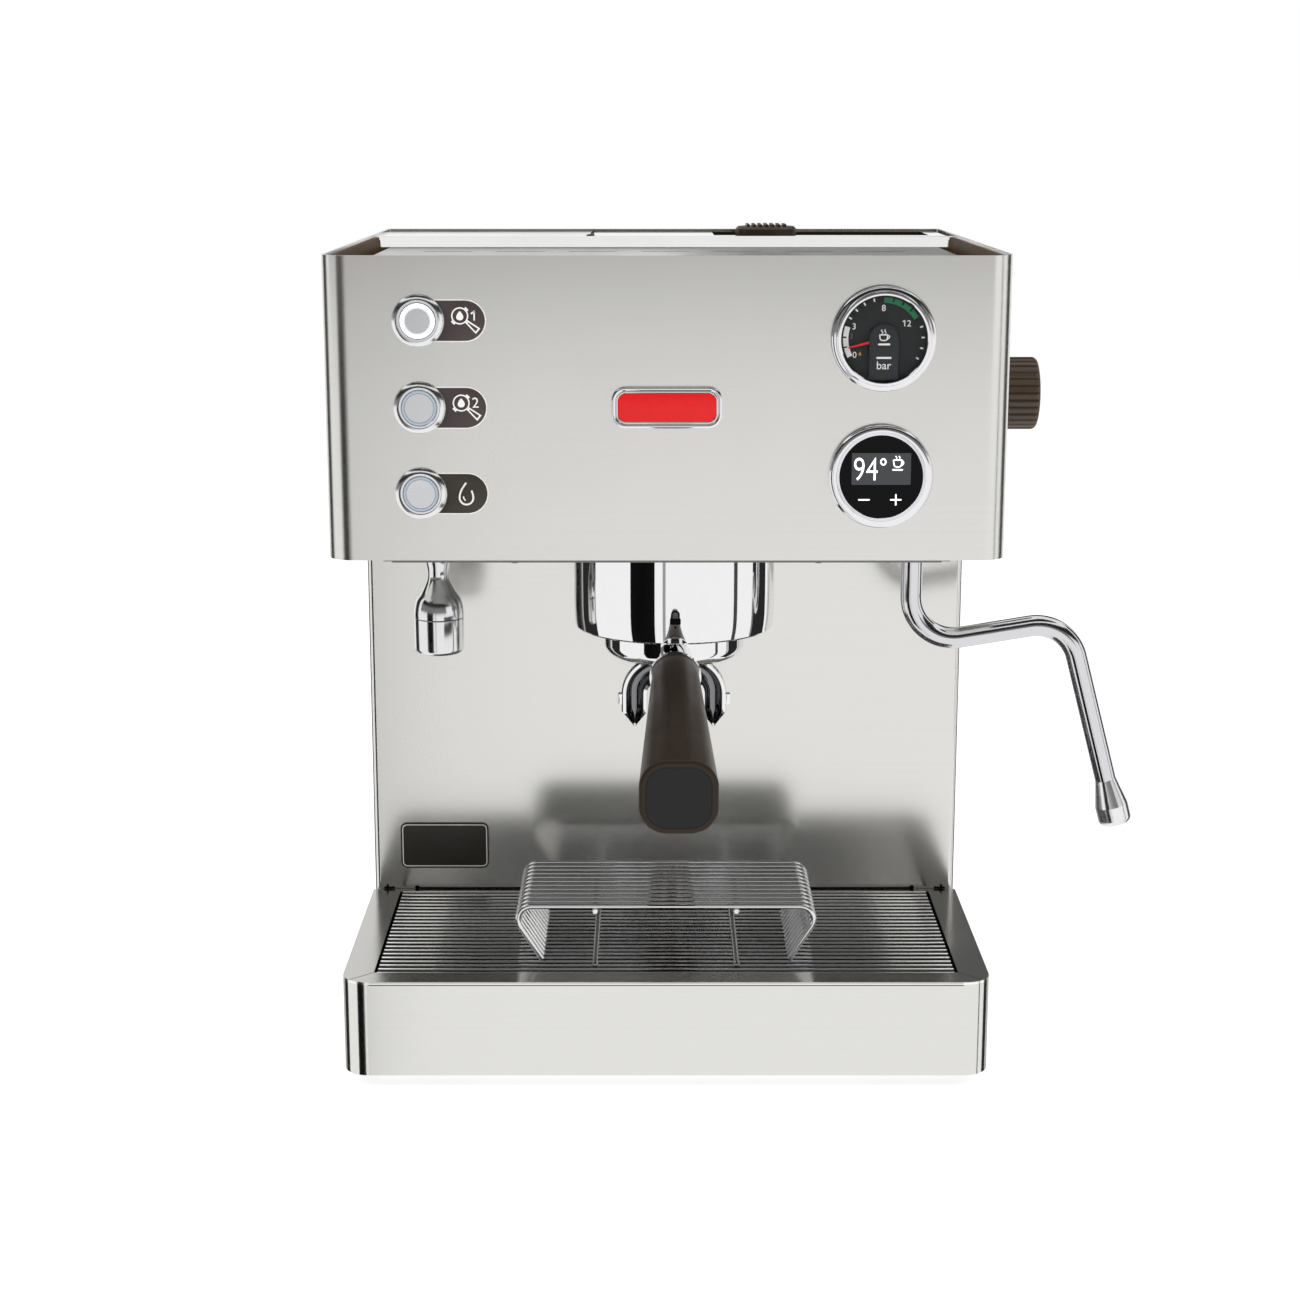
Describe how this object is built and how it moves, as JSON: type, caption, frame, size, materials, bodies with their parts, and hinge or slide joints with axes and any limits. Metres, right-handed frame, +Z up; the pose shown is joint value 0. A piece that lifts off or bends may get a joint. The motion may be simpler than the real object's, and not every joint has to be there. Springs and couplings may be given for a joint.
{
  "type": "espresso machine",
  "caption": "Kitchen espresso machine with a head over a drip tray, bayonet filter holder, swivelling steam wand, hot water spout, push buttons, pressure gauge and lift-out water tank.",
  "frame": {"origin": "on the counter under the middle of the body, half way between the sides and between front panel and back", "axes": "+X to the user's right, +Y away from the user towards the back, +Z up"},
  "size_m": [0.3722, 0.4195, 0.384],
  "materials": {
    "steel_sheet": "brushed stainless",
    "steel_wire": "polished wire",
    "galvanised_sheet": "plain sheet",
    "chrome_parts": "polished",
    "button_steel": "turned",
    "inner_steel": "satin",
    "brown_plastic": "fine matt",
    "cap_plastic": "satin",
    "dark_plastic": "matt",
    "lid_plastic": "satin",
    "tank_plastic": "clear smoke",
    "black_rubber": "matt",
    "brass_parts": "satin",
    "copper_pipe": "plain copper",
    "pump_body": "plain",
    "board": "lacquered",
    "dial_black": "printed",
    "needle_red": "painted",
    "clear_glass": "clear",
    "display_black": "polished"
  },
  "bodies": {
    "machine": {"base_plate": "galvanised_sheet", "brew_boiler": "brass_parts", "brew_pipe": "copper_pipe", "button_bezels": "chrome_parts", "cable_gland": "dark_plastic", "column_shell": "steel_sheet", "control_board": "board", "display_bezel": "chrome_parts", "display_glass": "display_black", "feet": "black_rubber", "gauge_case": "chrome_parts", "gauge_dial": "dial_black", "gauge_glass": "clear_glass", "group_gasket": "black_rubber", "group_head": "brass_parts", "group_ring": "chrome_parts", "head_casing": "steel_sheet", "head_floor": "steel_sheet", "mains_switch": "dark_plastic", "pump": "pump_body", "pump_mounts": "black_rubber", "rear_deck": "steel_sheet", "rear_panel": "steel_sheet", "shower_screen": "inner_steel", "solenoid_valve": "brass_parts", "spout_nozzle": "chrome_parts", "steam_boiler": "brass_parts", "steam_pipe": "copper_pipe", "steam_valve": "brass_parts", "suction_hose": "black_rubber", "tank_cradle": "dark_plastic", "tray_rails": "brown_plastic", "wand_pipe": "copper_pipe", "wand_socket": "chrome_parts", "water_pipe": "copper_pipe", "water_spout": "chrome_parts"},
    "portafilter": {"portafilter_body": "chrome_parts", "filter_basket": "inner_steel", "handle_ferrule": "chrome_parts", "handle_grip": "brown_plastic", "handle_cap": "cap_plastic", "twin_spout": "chrome_parts"},
    "steam_wand": {"steam_wand": "chrome_parts", "wand_tip": "chrome_parts"},
    "steam_knob": {"steam_knob": "brown_plastic", "valve_spindle": "inner_steel"},
    "drip_tray": {"tray_skirt": "steel_sheet", "tray_frame": "steel_sheet", "drip_basin": "dark_plastic"},
    "drip_grid": {"drip_grid": "steel_wire"},
    "cup_stand": {"cup_stand": "steel_wire"},
    "cup_tray": {"cup_tray": "steel_sheet"},
    "water_tank": {"water_tank": "tank_plastic"},
    "tank_lid": {"tank_lid": "lid_plastic"},
    "tank_cap": {"tank_cap": "brown_plastic"},
    "one_cup_button": {"one_cup_button": "button_steel"},
    "two_cup_button": {"two_cup_button": "button_steel"},
    "water_button": {"water_button": "button_steel"},
    "gauge_needle": {"gauge_needle": "needle_red"},
    "mains_rocker": {"mains_rocker": "dark_plastic"}
  },
  "joints": [
    {"name": "portafilter_turn", "type": "hinge", "parent": "machine", "child": "portafilter", "pos_m": [0.004, -0.077, 0.21], "axis": [0, 0, 1], "range_deg": [-45, 0]},
    {"name": "wand_swivel", "type": "hinge", "parent": "machine", "child": "steam_wand", "pos_m": [0.1148, -0.079, 0.24], "axis": [0, 0, 1], "range_deg": [-90, 30]},
    {"name": "steam_knob_turn", "type": "hinge", "parent": "machine", "child": "steam_knob", "pos_m": [0.15, -0.047, 0.311], "axis": [1, 0, 0], "range_deg": [0, 340]},
    {"name": "drip_tray_slide", "type": "slide", "parent": "machine", "child": "drip_tray", "axis": [0, -1, 0], "range_m": [0, 0.14]},
    {"name": "drip_grid_lift", "type": "slide", "parent": "drip_tray", "child": "drip_grid", "axis": [0, 0, 1], "range_m": [0, 0.03]},
    {"name": "cup_stand_lift", "type": "slide", "parent": "drip_grid", "child": "cup_stand", "axis": [0, 0, 1], "range_m": [0, 0.03]},
    {"name": "cup_tray_lift", "type": "slide", "parent": "machine", "child": "cup_tray", "axis": [0, 0, 1], "range_m": [0, 0.03]},
    {"name": "water_tank_lift", "type": "slide", "parent": "machine", "child": "water_tank", "axis": [0, 0, 1], "range_m": [0, 0.24]},
    {"name": "tank_lid_lift", "type": "slide", "parent": "water_tank", "child": "tank_lid", "axis": [0, 0, 1], "range_m": [0, 0.03]},
    {"name": "tank_cap_lift", "type": "slide", "parent": "tank_lid", "child": "tank_cap", "axis": [0, 0, 1], "range_m": [0, 0.025]},
    {"name": "one_cup_press", "type": "slide", "parent": "machine", "child": "one_cup_button", "axis": [0, 1, 0], "range_m": [0, 0.0015], "stiffness_N_per_m": 800},
    {"name": "two_cup_press", "type": "slide", "parent": "machine", "child": "two_cup_button", "axis": [0, 1, 0], "range_m": [0, 0.0015], "stiffness_N_per_m": 800},
    {"name": "water_press", "type": "slide", "parent": "machine", "child": "water_button", "axis": [0, 1, 0], "range_m": [0, 0.0015], "stiffness_N_per_m": 800},
    {"name": "gauge_needle_turn", "type": "hinge", "parent": "machine", "child": "gauge_needle", "pos_m": [0.0935, -0.1412, 0.3446], "axis": [0, 1, 0], "range_deg": [0, 208], "stiffness_Nm_per_rad": 0.002},
    {"name": "mains_rocker_tilt", "type": "hinge", "parent": "machine", "child": "mains_rocker", "pos_m": [0.096, 0.134, 0.062], "axis": [1, 0, 0], "range_deg": [-16, 0]}
  ]
}
